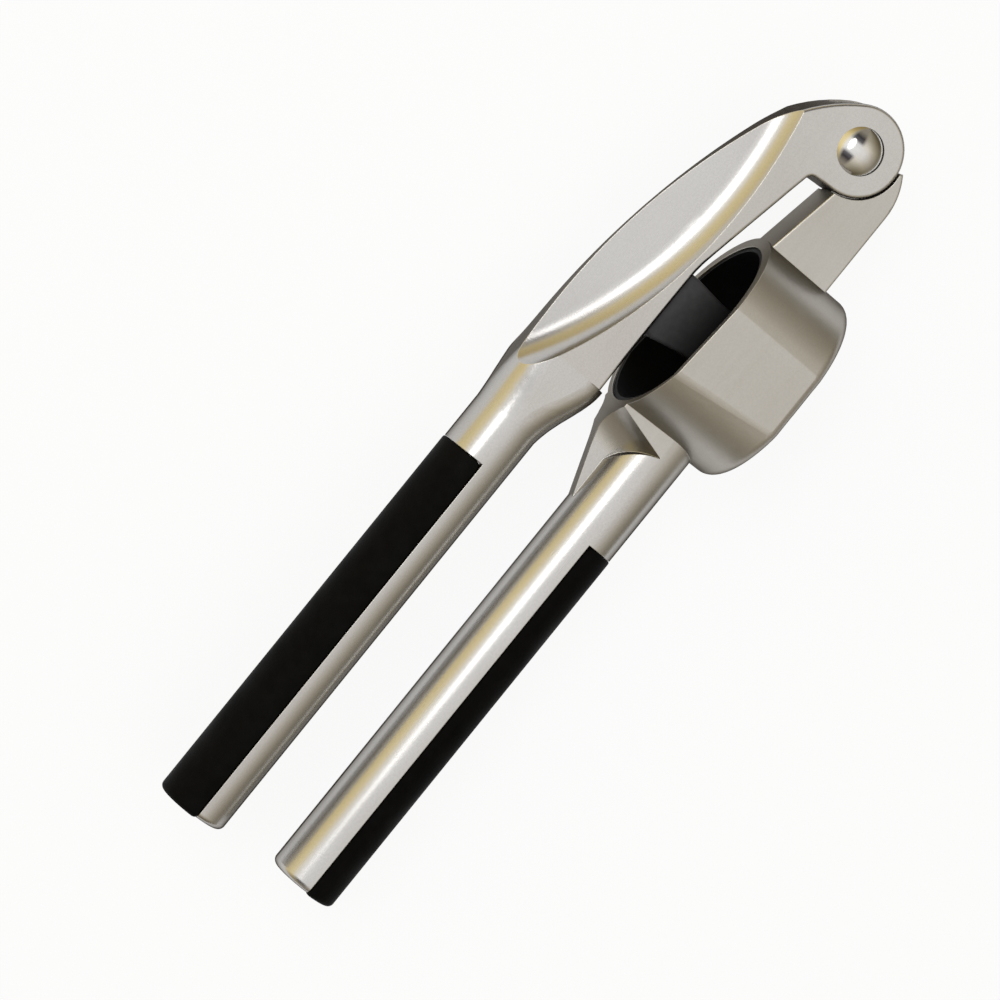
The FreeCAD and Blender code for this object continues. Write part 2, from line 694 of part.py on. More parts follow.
slot = body("cheek_slot")
profile = sketch(slot, "slot_profile", "XY_Plane", "mid_height")
outline(profile, [
    ("line", "pin_x", "pin_y"),
    ("line", "pin_x - beyond", "pin_y + beyond * tan((180 - slot_from) * 1 deg)"),
    ("line", "pin_x - beyond", "pin_y - beyond"),
    ("line", "pin_x + beyond", "pin_y - beyond"),
    ("line", "pin_x + beyond", "pin_y + beyond * tan((slot_to - 360) * 1 deg)"),
])
pad(slot, profile, "2 * (tongue_half_w + cheek_gap)", symmetric=True)
eye_room = rod("eye_room", "Z", "pin_x", "pin_y",
               "mid_height - tongue_half_w - cheek_gap", "eye_r + eye_gap",
               "2 * (tongue_half_w + cheek_gap)")
pin_hole = rod("pin_hole", "Z", "pin_x", "pin_y", "0", "pin_r + pin_clear",
               "2 * mid_height")
lever_recess = grip_recess("lever_recess", "lever_axis_y", "lever_end",
                           "lever_grip_front", 1)
socket = box("tenon_socket", "-tenon_half_l - tenon_gap", "head_low_y",
             "mid_height - tenon_half_w - tenon_gap",
             "2 * (tenon_half_l + tenon_gap)", "tenon_top_y - head_low_y + 0.3",
             "2 * (tenon_half_w + tenon_gap)")

lever_whole = fuse("lever_whole", lever_bar, neck, head)
lever_tools = fuse("lever_tools", leaf, leaf_far)
lever_shaped = cut("lever_shaped", lever_whole, lever_tools)
lever_hollow = fuse("lever_hollow", channel, slot, eye_room, pin_hole, lever_recess,
                    socket)
lever = cut("lever_casting", lever_shaped, lever_hollow)

# ----------------------------------------------------- hopper casting

base_bar = round_bar("base_bar", "0 * pin_y", "base_end", "nose_axis_x")
nose_bar = rod("nose_bar", "X", "-nose_axis_x - joint_lap", "0", "mid_height",
               "handle_radius", "nose_r + joint_lap")
nose_round = rod("nose_round", "Z", "-nose_axis_x", "-nose_axis_y", "0", "nose_r",
                 "2 * mid_height")
base_nose = common("base_nose", nose_bar, nose_round)
under_bar = rod("under_bar", "X", "-nose_axis_x - joint_lap", "0", "mid_height",
                "handle_radius", "nose_axis_x - hopper_back + 4 * joint_lap")
under_keep = box("under_keep", "-nose_axis_x - joint_lap", "-beyond", "0",
                 "nose_axis_x - hopper_back + 4 * joint_lap", "beyond",
                 "2 * mid_height")
under_half = common("under_half", under_bar, under_keep)

web = body("neck_web")
profile = sketch(web, "web_profile", "XY_Plane", "mid_height")
outline(profile, [
    ("line", "2 - hopper_back", "0 * pin_y"),
    ("line", "2 - hopper_back", "web_top_y"),
    ("line", "-web_knee", "web_top_y"),
    ("line", "-web_top_back", "handle_radius - 0.2"),
    ("line", "-web_top_back - 2", "0 * pin_y"),
])
pad(web, profile, "2 * handle_radius", symmetric=True)

scoop = body("scoop")
scoop.Placement.Rotation = FreeCAD.Rotation(FreeCAD.Vector(0, 0, -1), 10)
bind(scoop, Placement__Rotation__Angle=cell("scoop_tilt"),
     Placement__Base__x=cell("-scoop_x"))
profile = sketch(scoop, "scoop_section", "XZ_Plane")
outline(profile, [
    ("line", "0 * scoop_x", "mid_height + scoop_web"),
    ("arc", "scoop_r", "mid_height + scoop_web + scoop_r", "scoop_r", 1),
    ("line", "-beyond", "mid_height + scoop_web + scoop_r"),
    ("line", "-beyond", "mid_height + scoop_web"),
])
scoop_pad = pad(scoop, profile, "2 * beyond", symmetric=True)
scoop_far = mirror("scoop_far", scoop)
scoops = fuse("scoops", scoop, scoop_far)
web_scooped = cut("web_scooped", web, scoops)

shell = body("hopper_shell")
shell_sections = [
    oval(shell, "shell_top", "top_level", "hopper_back", "hopper_front",
         "mid_height + flat_trim", "facet_back", "facet_front"),
    oval(shell, "shell_low", "-hopper_low", "hopper_back - hopper_lean",
         "hopper_front", "mid_height + flat_trim", "facet_back_low", "facet_front"),
]
shell_loft = loft(shell, "shell_loft", shell_sections)
facets = fillet(
    shell, shell_loft, "shell_facets", "facet_blend",
    lambda edge, middle: abs(edge.valueAt(edge.FirstParameter).y
                             - edge.valueAt(edge.LastParameter).y) > 10)
low_level = -size["hopper_low"]
shell_round = fillet(
    shell, facets, "shell_round_bottom", "hopper_edge",
    lambda edge, middle: all(abs(spot.Point.y - low_level) < 1e-4
                             for spot in edge.Vertexes)
    and abs(middle.y - low_level) < 1e-4)
shell_sides = box("shell_sides", "-beyond", "-beyond", "0", "2 * beyond",
                  "2 * beyond", "2 * mid_height")
shell_trued = common("shell_trued", shell, shell_sides)

arm = body("arm_block")
profile = sketch(arm, "arm_profile", "XY_Plane", "mid_height")
arm_steps = [
    ("line", "arm_low_end_x", "-arm_low_y"),
    ("arc", "horn_x", "-horn_y", "horn_r", 1),
    ("line", "pin_x", "pin_y - boss_r / 2"),
    ("line", "arm_top_end_x", "arm_top_end_y"),
    ("line", "hopper_front - 4", "arm_top_y"),
    ("line", "hopper_front - 4", "-arm_low_y"),
]
outline(profile, arm_steps)
arm_pad = pad(arm, profile, "2 * arm_half_w", symmetric=True)
fillet(arm, arm_pad, "arm_edges", "arm_edge",
       lambda edge, middle: (flat_at(size["mid_height"] - size["arm_half_w"])(edge, middle)
                             or flat_at(size["mid_height"] + size["arm_half_w"])(edge, middle))
       and abs(middle.x - size["hopper_front"] + 4) > 1e-3)
shoulder = rod("shoulder", "Z", "pin_x", "pin_y", "0", "shoulder_r", "2 * mid_height")
arm_cut = cut("arm_cut", arm, shoulder)

tongue_core = body("tongue_core")
profile = sketch(tongue_core, "tongue_profile", "XY_Plane", "mid_height")
outline(profile, arm_steps)
pad(tongue_core, profile, "2 * tongue_half_w", symmetric=True)
eye = rod("eye", "Z", "pin_x", "pin_y", "mid_height - tongue_half_w", "eye_r",
          "2 * tongue_half_w")

chamber = hopper_loft("chamber", "0", "floor_y")
window = body("floor_window")
profile = oval(window, "window_outline", "floor_y + 1",
               "inner_back - chamber_lean - ledge", "inner_front - ledge",
               "inner_half_w - ledge", "facet_back_low - 1",
               "facet_front - chamber_round")
pad(window, profile, "floor + 6")
rim_cut = above_mouth("rim_cut", "0")
base_recess = grip_recess("base_recess", "0", "base_end", "base_grip_front", -1)

base_solid = fuse("base_solid", base_bar, base_nose, under_half, web_scooped,
                  shell_trued, arm_cut, tongue_core, eye)
base_tools = fuse("base_tools", chamber, window, rim_cut, pin_hole, base_recess)
base = cut("hopper_casting", base_solid, base_tools)

# ------------------------------------------------------- strainer cup

cup_outer = hopper_loft("cup_outer", "cup_gap", "floor_y")
cup_inner = hopper_loft("cup_inner", "(cup_gap + cup_wall)", "floor_y + cup_base")
cup_rim_cut = above_mouth("cup_rim_cut", "cup_below_rim")
cup_tools = fuse("cup_tools", cup_inner, cup_rim_cut)
cup_plain = cut("cup_plain", cup_outer, cup_tools)

holes = body("strainer_holes")
profile = sketch(holes, "hole_pattern", "XZ_Plane", "-(floor_y - 1)")
edge_r = (size["inner_half_w"] ** 2 + 11.0 ** 2) / (2 * 11.0)
count = 0
for line in range(-5, 6):
    for column in range(-7, 8):
        shift = 0.5 if line % 2 else 0.0
        x = (column + shift) * size["hole_pitch"]
        z = line * size["hole_pitch"] * 0.866
        back_x = -(size["inner_back"] - size["chamber_lean"] - edge_r)
        front_x = size["inner_front"] - edge_r
        room = edge_r - size["cup_wall"] - size["hole_margin"] - size["hole_r"]
        if x > front_x and math.hypot(x - front_x, z) > room:
            continue
        if x < back_x and math.hypot(x - back_x, z) > room:
            continue
        if abs(z) > size["inner_half_w"] - size["cup_wall"] - size["hole_margin"]:
            continue
        circle(profile, "%s * hole_pitch" % (column + shift),
               "mid_height + %s * hole_pitch * 0.866" % line, "hole_r")
        count += 1
pad(holes, profile, "cup_base + 3", reverse=True)
print("strainer holes", count)
cup = cut("cup", cup_plain, holes)

# ------------------------------------------------------------ plunger

foot = body("plunger_foot")
inset = "(cup_gap + cup_wall + foot_gap)"
profile = oval(foot, "foot_outline", "foot_y",
               "inner_back - chamber_lean - foot_swing - " + inset,
               "inner_front - " + inset, "inner_half_w - " + inset,
               "facet_back_low - 1", "facet_front - chamber_round")
foot_pad = pad(foot, profile, "foot_height", reverse=True)
foot_top = size["foot_y"] + size["foot_height"]
fillet(foot, foot_pad, "foot_round", "foot_edge",
       lambda edge, middle: abs(middle.y - foot_top) < 1e-4
       and abs(edge.valueAt(edge.FirstParameter).y - foot_top) < 1e-4
       and abs(edge.valueAt(edge.LastParameter).y - foot_top) < 1e-4)

stem = body("plunger_stem")
profile = sketch(stem, "stem_profile", "XY_Plane", "mid_height")
outline(profile, [
    ("line", "stem_waist_front", "foot_y + 1"),
    ("line", "stem_waist_front", "stem_waist_y"),
    ("line", "stem_top_front", "head_low_y - 2"),
    ("line", "stem_top_front", "stem_top_y"),
    ("line", "-stem_top_back", "stem_top_y"),
    ("line", "-stem_top_back", "head_low_y - 2"),
    ("line", "-stem_waist_back", "stem_waist_y"),
    ("line", "-stem_waist_back", "foot_y + 1"),
])
stem_pad = pad(stem, profile, "2 * stem_half_w", symmetric=True)
fillet(stem, stem_pad, "stem_round", "stem_edge",
       lambda edge, middle: (flat_at(size["mid_height"] - size["stem_half_w"])(edge, middle)
                             or flat_at(size["mid_height"] + size["stem_half_w"])(edge, middle))
       and abs(edge.valueAt(edge.FirstParameter).y
               - edge.valueAt(edge.LastParameter).y) > 1)
tenon = box("tenon", "-tenon_half_l", "stem_top_y - 1", "mid_height - tenon_half_w",
            "2 * tenon_half_l", "tenon_top_y - stem_top_y + 1", "2 * tenon_half_w")
plunger = fuse("plunger_parts", foot, stem, tenon)

# ---------------------------------------------------------- hinge pin


def dome(name, radius, side):
    """Domed head: a cap of a sphere standing on a side face of the boss."""
    ball = doc.addObject("Part::Sphere", name + "_ball")
    ball_r = "(%s ^ 2 + dome_height ^ 2) / (2 * dome_height)" % radius
    face = "mid_height %s boss_half_w" % ("+" if side > 0 else "-")
    away = "(dome_height - %s)" % ball_r
    bind(ball, Radius=cell(ball_r), Placement__Base__x=cell("pin_x"),
         Placement__Base__y=cell("pin_y"),
         Placement__Base__z=cell("%s %s %s" % (face, "+" if side > 0 else "-", away)))
    start = face if side > 0 else face + " - dome_height - 1"
    keep = rod(name + "_keep", "Z", "pin_x", "pin_y", start, radius + " + 1",
               "dome_height + 1")
    return common(name, ball, keep)


near_dome = dome("near_dome", "dome_r", 1)
shank = rod("shank", "Z", "pin_x", "pin_y",
            "mid_height - boss_half_w - cap_bore_depth + 0.1", "pin_r",
            "2 * boss_half_w + cap_bore_depth")
pin = fuse("pin", near_dome, shank)
far_dome = dome("far_dome", "dome_r", -1)
cap_bore = rod("cap_bore", "Z", "pin_x", "pin_y",
               "mid_height - boss_half_w - cap_bore_depth", "pin_r + 0.01",
               "cap_bore_depth + 1")
cap = cut("cap", far_dome, cap_bore)

# -------------------------------------------------------------- grips

lever_grip = grip("lever_grip", "lever_axis_y", "lever_end", "lever_grip_front", 1)
base_grip = grip("base_grip", "0 * pin_y", "base_end", "base_grip_front", -1)

# ------------------------------------------------------------- export

NODES = [
    ("hopper_with_lower_handle", base),
    ("lever_with_upper_handle", lever),
    ("plunger", plunger),
    ("strainer_cup", cup),
    ("hinge_pin", pin),
    ("hinge_pin_cap", cap),
    ("lower_grip", base_grip),
    ("upper_grip", lever_grip),
]

doc.recompute()
for thing in doc.Objects:
    if "Invalid" in thing.State or "Error" in thing.State:
        raise RuntimeError("feature failed: %s %s" % (thing.Name, thing.State))

os.makedirs("parts", exist_ok=True)
for label, thing in NODES:
    thing.Label = label
    shape = thing.Shape
    if shape.isNull() or not shape.isValid():
        raise RuntimeError("bad shape: " + label)
    if len(shape.Solids) != 1:
        raise RuntimeError("%s has %d solids" % (label, len(shape.Solids)))
    shape.exportStep("parts/" + label + ".step")
    edges = shape.BoundBox
    print("%-26s %9.1f mm3  x %.1f..%.1f y %.1f..%.1f z %.1f..%.1f" % (
        label, shape.Volume, edges.XMin, edges.XMax, edges.YMin, edges.YMax,
        edges.ZMin, edges.ZMax))
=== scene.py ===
# %% [markdown]
# # A garlic press
# The object is a hand garlic press.  Two zinc castings turn on one rivet.  The
# upper one is the lever, with a dark plunger under its head.  The lower one
# ends in an oval hopper with a strainer cup inside.  A rubber inlay covers the
# outer half of each round handle.
#
# A CAD model gives every piece its place, so this lesson starts from it and
# adds what it can't show: the finishes, a domed rivet, soft rubber and a
# studio.  All lengths are in metres, in the model's own frame.  +X runs along
# the handles towards the hinge, +Y from the hopper to the lever, and +Z along
# the rivet.  The press lies on the flat side of its hopper.

# %% Load the frame
from math import cos, pi, radians, sin

import bpy
import numpy as np
from mathutils import Matrix, Vector


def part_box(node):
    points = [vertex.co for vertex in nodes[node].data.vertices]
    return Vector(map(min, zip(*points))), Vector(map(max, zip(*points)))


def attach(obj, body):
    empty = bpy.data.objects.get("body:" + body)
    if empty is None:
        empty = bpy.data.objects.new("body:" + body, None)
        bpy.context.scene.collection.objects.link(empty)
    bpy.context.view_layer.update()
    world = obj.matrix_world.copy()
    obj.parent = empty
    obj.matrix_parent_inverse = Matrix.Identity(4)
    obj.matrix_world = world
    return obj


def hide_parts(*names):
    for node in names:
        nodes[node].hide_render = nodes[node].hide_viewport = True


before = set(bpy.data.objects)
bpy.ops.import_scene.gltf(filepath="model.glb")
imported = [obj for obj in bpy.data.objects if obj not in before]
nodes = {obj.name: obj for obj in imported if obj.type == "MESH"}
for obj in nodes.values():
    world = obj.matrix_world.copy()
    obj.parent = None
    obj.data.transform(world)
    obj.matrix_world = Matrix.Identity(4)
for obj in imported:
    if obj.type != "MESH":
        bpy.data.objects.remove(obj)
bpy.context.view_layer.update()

print("nodes:", ", ".join(sorted(nodes)))

# %% [markdown]
# ## The bricks of a finish
# The finish of a real tool is never one flat colour.  Its tone wanders over
# centimetres, it has a fine grain, and its edges are rubbed brighter.  Such a
# skin could be painted as a picture and wrapped round the piece.  Here it is
# built from noise instead, because noise has no seams and looks the same from
# every side.  It is read in object coordinates, so it stays on its piece when
# the lever moves.
#
# A finish is a graph of nodes, and a few helpers make and join them.  The
# first three start a finish, fill a socket and work out a number.

# %% Start a finish


def new_finish(name):
    """A material with a Principled shader; returns material, tree, shader."""
    finish = bpy.data.materials.new(name)
    finish.use_nodes = True
    tree = finish.node_tree
    return finish, tree, tree.nodes["Principled BSDF"]


def feed(tree, socket, value):
    """Give a socket a number, a colour, or what another node puts out."""
    if isinstance(value, bpy.types.NodeSocket):
        tree.links.new(value, socket)
    elif isinstance(value, tuple):
        socket.default_value = (*value, 1.0)
    else:
        socket.default_value = value


def maths(tree, operation, *values):
    """What a Math node makes of one or two values."""
    node = tree.nodes.new("ShaderNodeMath")
    node.operation = operation
    for socket, value in zip(node.inputs, values):
        feed(tree, socket, value)
    return node.outputs["Value"]


# %% [markdown]
# Noise comes out between 0 and 1 and is seldom near either end.  `between`
# stretches its middle to the two values that are wanted and holds it there,
# so no spot is ever far too dark or too shiny.

# %% Noise


def grain(tree, scale, detail=2.0, stretch=(1.0, 1.0, 1.0)):
    """Noise in object coordinates; scale counts lumps per metre.

    Detail counts the finer layers on top, and a stretch below 1 along an
    axis draws the lumps out into lines along it.
    """
    place = tree.nodes.new("ShaderNodeTexCoord")
    shape = tree.nodes.new("ShaderNodeMapping")
    shape.inputs["Scale"].default_value = stretch
    noise = tree.nodes.new("ShaderNodeTexNoise")
    noise.inputs["Scale"].default_value = scale
    noise.inputs["Detail"].default_value = detail
    tree.links.new(place.outputs["Object"], shape.inputs["Vector"])
    tree.links.new(shape.outputs["Vector"], noise.inputs["Vector"])
    return noise.outputs["Fac"]


def between(tree, factor, low, high, start=0.3, stop=0.7):
    """Map start..stop to low..high, held at both ends."""
    span = tree.nodes.new("ShaderNodeMapRange")
    span.inputs["From Min"].default_value = start
    span.inputs["From Max"].default_value = stop
    span.inputs["To Min"].default_value = low
    span.inputs["To Max"].default_value = high
    tree.links.new(factor, span.inputs["Value"])
    return span.outputs["Result"]


# %% [markdown]
# Colours are mixed in two ways.  `tint` goes from one colour to another by a
# factor, as two tones of one metal do.  `times` darkens or warms one colour by
# another, as dirt or wear does to what is under it.

# %% Colour


def mixed(tree, way, factor, first, second):
    """Two colours mixed in one of the ways of a Mix node."""
    mix = tree.nodes.new("ShaderNodeMix")
    mix.data_type = "RGBA"
    mix.blend_type = way
    feed(tree, mix.inputs["Factor"], factor)
    feed(tree, mix.inputs["A"], first)
    feed(tree, mix.inputs["B"], second)
    return mix.outputs["Result"]


def tint(tree, factor, first, second):
    """The first colour where the factor is 0, the second where it is 1."""
    return mixed(tree, "MIX", factor, first, second)


def times(tree, first, second):
    """Product of two colours."""
    return mixed(tree, "MULTIPLY", 1.0, first, second)


# %% [markdown]
# Castings and sprayed parts have no knife edges.  A Bevel node turns the
# normals over every edge as a small round would, and the mesh stays as it is.
# The same node finds the edges: where its normal and the true one differ, the
# surface bends, and that is where a hand rubs it.  The corners of the mesh
# could tell the same, but a CAD mesh is made of loose triangles, and there
# they draw streaks.

# %% Relief and edges


def relief(tree, shader, height, depth):
    """Bump from a height factor; depth is the relief in metres."""
    bump = tree.nodes.new("ShaderNodeBump")
    bump.inputs["Strength"].default_value = 1.0
    bump.inputs["Distance"].default_value = depth
    tree.links.new(height, bump.inputs["Height"])
    tree.links.new(bump.outputs["Normal"], shader.inputs["Normal"])
    return bump


def softened(tree, radius, samples=6):
    """Normals that turn smoothly over every edge, as after tumbling."""
    soft = tree.nodes.new("ShaderNodeBevel")
    soft.samples = samples
    soft.inputs["Radius"].default_value = radius
    return soft.outputs["Normal"]


def edges(tree, radius, sharp=0.80, flat=0.985):
    """Factor that is 1 on edges and 0 on flats.

    It reads the cosine of the angle between the softened and the true normal:
    sharp or less is an edge, flat or more is none.
    """
    shape = tree.nodes.new("ShaderNodeNewGeometry")
    dot = tree.nodes.new("ShaderNodeVectorMath")
    dot.operation = "DOT_PRODUCT"
    tree.links.new(softened(tree, radius), dot.inputs[0])
    tree.links.new(shape.outputs["Normal"], dot.inputs[1])
    return between(tree, dot.outputs["Value"], 1.0, 0.0, sharp, flat)


def along_axis(tree, axis):
    """Distance along one axis of the frame, in metres."""
    place = tree.nodes.new("ShaderNodeTexCoord")
    split = tree.nodes.new("ShaderNodeSeparateXYZ")
    tree.links.new(place.outputs["Object"], split.inputs["Vector"])
    return split.outputs[axis]


# %% [markdown]
# ## Satin nickel on zinc
# Both castings are tumbled until their edges are soft, and then plated with
# satin nickel.  Nickel is a slightly warm metal with a soft reflection, so the
# shader is fully metallic, and the look comes from its colour and roughness.
#
# Real nickel gets brighter at a flat angle.  Beside a white floor that would
# draw pale rims round the handles, so the specular tint is set dark here, and
# the dark rims it gives are painted shade.  It is a choice of looks, and not a
# fact about the metal.
#
# Three things break up the skin: slow patches in the warmth, a fine blasted
# grain, and faint polishing lines along the handle.  The lines are the same
# noise, stretched along X.

# %% Numbers of the nickel
white = (1.0, 1.0, 1.0)
warm_tone, pale_tone = (0.495, 0.482, 0.462), (0.525, 0.515, 0.50)
flat_angle_tone = (0.03, 0.02, 0.01)
pit_tone = (0.93, 0.93, 0.93)       # in the pits of the blasted grain
blasted_tone = (0.99, 0.98, 0.95)   # what blasting leaves of the colour
rubbed_tone = (1.22, 1.22, 1.22)    # how much brighter a rubbed edge is
satin_rough = (0.23, 0.28)
line_rough = 0.02                   # what a polishing line adds or takes
blasted_rough = 0.12                # what blasting adds
tone_patches, gloss_patches = 40.0, 55.0    # in a metre
grains_per_metre = 2600.0
lines_per_metre = 900.0
drawn_out = (0.04, 1.0, 1.0)        # makes the lines long along X
grain_depth = 0.000008
tumbled_radius = 0.00025
rubbed_radius = 0.0003
print("nickel from", warm_tone, "to", pale_tone)

# %% [markdown]
# The hopper and the arm behind it look duller than the handle that they are
# cast with, so they are taken to be blasted and never polished.  One casting
# carries both skins, with a soft change across the web between them.  So the
# change is made by the distance along X, and needs no second material.  Its
# two places are typed, and don't follow the CAD model.

# %% Satin nickel


def satin_nickel(name, polished_to=None, blasted_from=None):
    """Satin plating; it turns blasted between two places along X."""
    finish, tree, shader = new_finish(name)
    shader.inputs["Metallic"].default_value = 1.0
    # The dark specular tint paints shade on the rims at flat angles.
    feed(tree, shader.inputs["Specular Tint"], flat_angle_tone)

    patches = between(tree, grain(tree, tone_patches), 0.0, 1.0)
    fine = between(tree, grain(tree, grains_per_metre, 3.0), 0.0, 1.0)
    skin = times(tree, tint(tree, patches, warm_tone, pale_tone),
                 tint(tree, fine, pit_tone, white))

    satin = between(tree, grain(tree, gloss_patches), *satin_rough)
    lines = grain(tree, lines_per_metre, stretch=drawn_out)
    rough = maths(tree, "ADD", satin,
                  between(tree, lines, -line_rough, line_rough))

    if blasted_from is not None:
        dull = between(tree, along_axis(tree, "X"), 0.0, 1.0,
                       polished_to, blasted_from)
        more = between(tree, dull, 0.0, blasted_rough, 0.0, 1.0)
        skin = times(tree, skin, tint(tree, dull, white, blasted_tone))
        rough = maths(tree, "ADD", rough, more)

    rubbed = times(tree, skin, rubbed_tone)
    feed(tree, shader.inputs["Base Color"],
         tint(tree, edges(tree, rubbed_radius), skin, rubbed))
    feed(tree, shader.inputs["Roughness"], rough)
    bump = relief(tree, shader, grain(tree, grains_per_metre, 3.0),
                  grain_depth)
    feed(tree, bump.inputs["Normal"], softened(tree, tumbled_radius))
    print("finish:", finish.name)
    return finish


lever_nickel = satin_nickel("satin_nickel_lever")
hopper_nickel = satin_nickel("satin_nickel_hopper",
                             polished_to=-0.031, blasted_from=-0.020)

# %% [markdown]
# ## Dark coats
# The plunger has a charcoal non-stick coat and the cup a black one.  Both are
# sprayed on and baked, so they are not metallic, have a soft gloss and a
# slight orange peel, and wear thin on edges.  The orange peel is shallow bump,
# since it is far too fine to be worth any faces.
#
# Down in the hopper the plunger looks nearly black, and at least part of that
# is shadow.  Part of that is shadow, and part is taken to be stain, which is a
# guess.  So the coat is painted darker towards the low end of Y, as painted
# shade, and it stays so when the press is open.  The black of the cup is
# deeper than a real coat, for the same dark look inside.

# %% A sprayed coat
coat_gloss = 0.16
worn_factor = 1.8           # how much lighter the coat is where it wears thin
worn_radius = 0.0002
painted_shade_left = 0.12           # what the painted shade leaves of the colour
speckles_per_metre = 700.0
smears_per_metre = 90.0
peel_per_metre = 1100.0
peel_depth = 0.000015


def sprayed_coat(name, dark, light, rough, painted_shade_span=None):
    """A sprayed coat: two close tones, soft gloss, orange peel.

    The last argument gives two places along Y for painted shade: up to the
    first the coat is painted darkest, and from the second on it is not
    darkened.
    """
    coat, tree, shader = new_finish(name)
    shader.inputs["Metallic"].default_value = 0.0
    shader.inputs["Specular IOR Level"].default_value = coat_gloss
    tone = between(tree, grain(tree, speckles_per_metre, 4.0), 0.0, 1.0)
    worn = tuple(worn_factor * channel for channel in light)
    colour = tint(tree, edges(tree, worn_radius),
                  tint(tree, tone, dark, light), worn)
    # Painted shade: the coat gets darker towards low Y, where it sits down in
    # the hopper.
    if painted_shade_span is not None:
        clean = between(tree, along_axis(tree, "Y"), painted_shade_left, 1.0, *painted_shade_span)
        painted_shade_tone = tree.nodes.new("ShaderNodeCombineColor")
        for channel in painted_shade_tone.inputs:
            feed(tree, channel, clean)
        colour = times(tree, colour, painted_shade_tone.outputs["Color"])
    feed(tree, shader.inputs["Base Color"], colour)
    feed(tree, shader.inputs["Roughness"],
         between(tree, grain(tree, smears_per_metre), *rough))
    relief(tree, shader, grain(tree, peel_per_metre, 3.0), peel_depth)
    print("finish:", coat.name)
    return coat


# %% Charcoal and black coats
# The charcoal coat carries painted shade towards the plunger's foot.
charcoal = sprayed_coat("charcoal_coat",
                        dark=(0.064, 0.064, 0.069),
                        light=(0.080, 0.080, 0.085),
                        rough=(0.36, 0.42), painted_shade_span=(0.007, 0.018))
black = sprayed_coat("black_coat",
                     dark=(0.0015, 0.0015, 0.0015),
                     light=(0.004, 0.004, 0.004),
                     rough=(0.6, 0.7))

# %% [markdown]
# ## Polished steel
# The rivet is turned steel, polished once it is set.  It is the one bright
# mirror on the press, so its roughness stays low, with a slow haze where
# fingers touch it and a grain that is only just there.

# %% Polished steel
dim_steel, clear_steel = (0.57, 0.56, 0.54), (0.65, 0.64, 0.62)
steel_rough = (0.06, 0.13)
polished, tree, shader = new_finish("polished_steel")
shader.inputs["Metallic"].default_value = 1.0
haze = between(tree, grain(tree, 300.0, 3.0), 0.0, 1.0)
feed(tree, shader.inputs["Base Color"],
     tint(tree, haze, dim_steel, clear_steel))
feed(tree, shader.inputs["Roughness"],
     between(tree, grain(tree, 700.0, 3.0), *steel_rough))
relief(tree, shader, grain(tree, 4000.0), depth=0.000003)
print("finish:", polished.name)

# %% [markdown]
# ## Black rubber
# The inlays are soft black rubber with a fine, dull skin, so the shader is
# rough and the bump is deeper than on a coat.  Real rubber gives back about
# ten times as much light as the two tones here.  They are this dark, with a
# low specular level, because the grips look plain black beside bright metal.

# %% Black rubber
dark_rubber, dusty_rubber = (0.0015, 0.0015, 0.0015), (0.003, 0.003, 0.003)
rubber_rough = (0.55, 0.7)
rubber, tree, shader = new_finish("black_rubber")
shader.inputs["Specular IOR Level"].default_value = 0.05
dust = between(tree, grain(tree, 500.0, 4.0), 0.0, 1.0)
feed(tree, shader.inputs["Base Color"],
     tint(tree, dust, dark_rubber, dusty_rubber))
feed(tree, shader.inputs["Roughness"],
     between(tree, grain(tree, 120.0), *rubber_rough))
relief(tree, shader, grain(tree, 1500.0, 3.0), depth=0.00005)
print("finish:", rubber.name)

# %% [markdown]
# ## Castings, plunger and cup
# The CAD shape of these four already has its rounds and the holes of the cup,
# so they stay, and only their finish changes.  A finish goes into the mesh's
# own material slots, and the mesh isn't touched.

# %% Give the CAD pieces their finish
finishes = {
    "hopper_with_lower_handle": hopper_nickel,
    "lever_with_upper_handle": lever_nickel,
    "plunger": charcoal,
    "strainer_cup": black,
}
for name, finish in finishes.items():
    mesh = nodes[name].data
    mesh.materials.clear()
    mesh.materials.append(finish)
    print(name, "has", finish.name)

# %% [markdown]
# ## From points to a piece
# The rivet and the rubber are made anew, because their soft forms show how
# they were made.  Each is a surface of two parameters: arrays hold its points
# and its faces, and one helper turns the arrays into a smooth mesh.  It also
# says which body the piece moves with, and which finish of the model it takes.

# %% Make a piece


def as_piece(name, verts, faces, finish, body, crease=35.0):
    """A smooth mesh object; edges sharper than crease degrees stay crisp."""
    mesh = bpy.data.meshes.new(name)
    mesh.from_pydata(verts.tolist(), [], faces)
    mesh.validate()
    mesh.shade_smooth()
    mesh.set_sharp_from_angle(angle=radians(crease))
    mesh.materials.append(finish)
    piece = bpy.data.objects.new(name, mesh)
    bpy.context.scene.collection.objects.link(piece)
    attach(piece, body)
    print(name, len(mesh.polygons), "faces")
    return piece


# %% [markdown]
# ## The rivet
# A rivet is turned on a lathe, pushed through both castings, and set with a
# second head on the far side.  A lathe part is the simplest surface of two
# parameters: one runs along the profile, the other round the axis.  A ready
# cylinder and a squashed sphere would have to be joined, and this is one
# closed skin from the start.

# %% A lathe


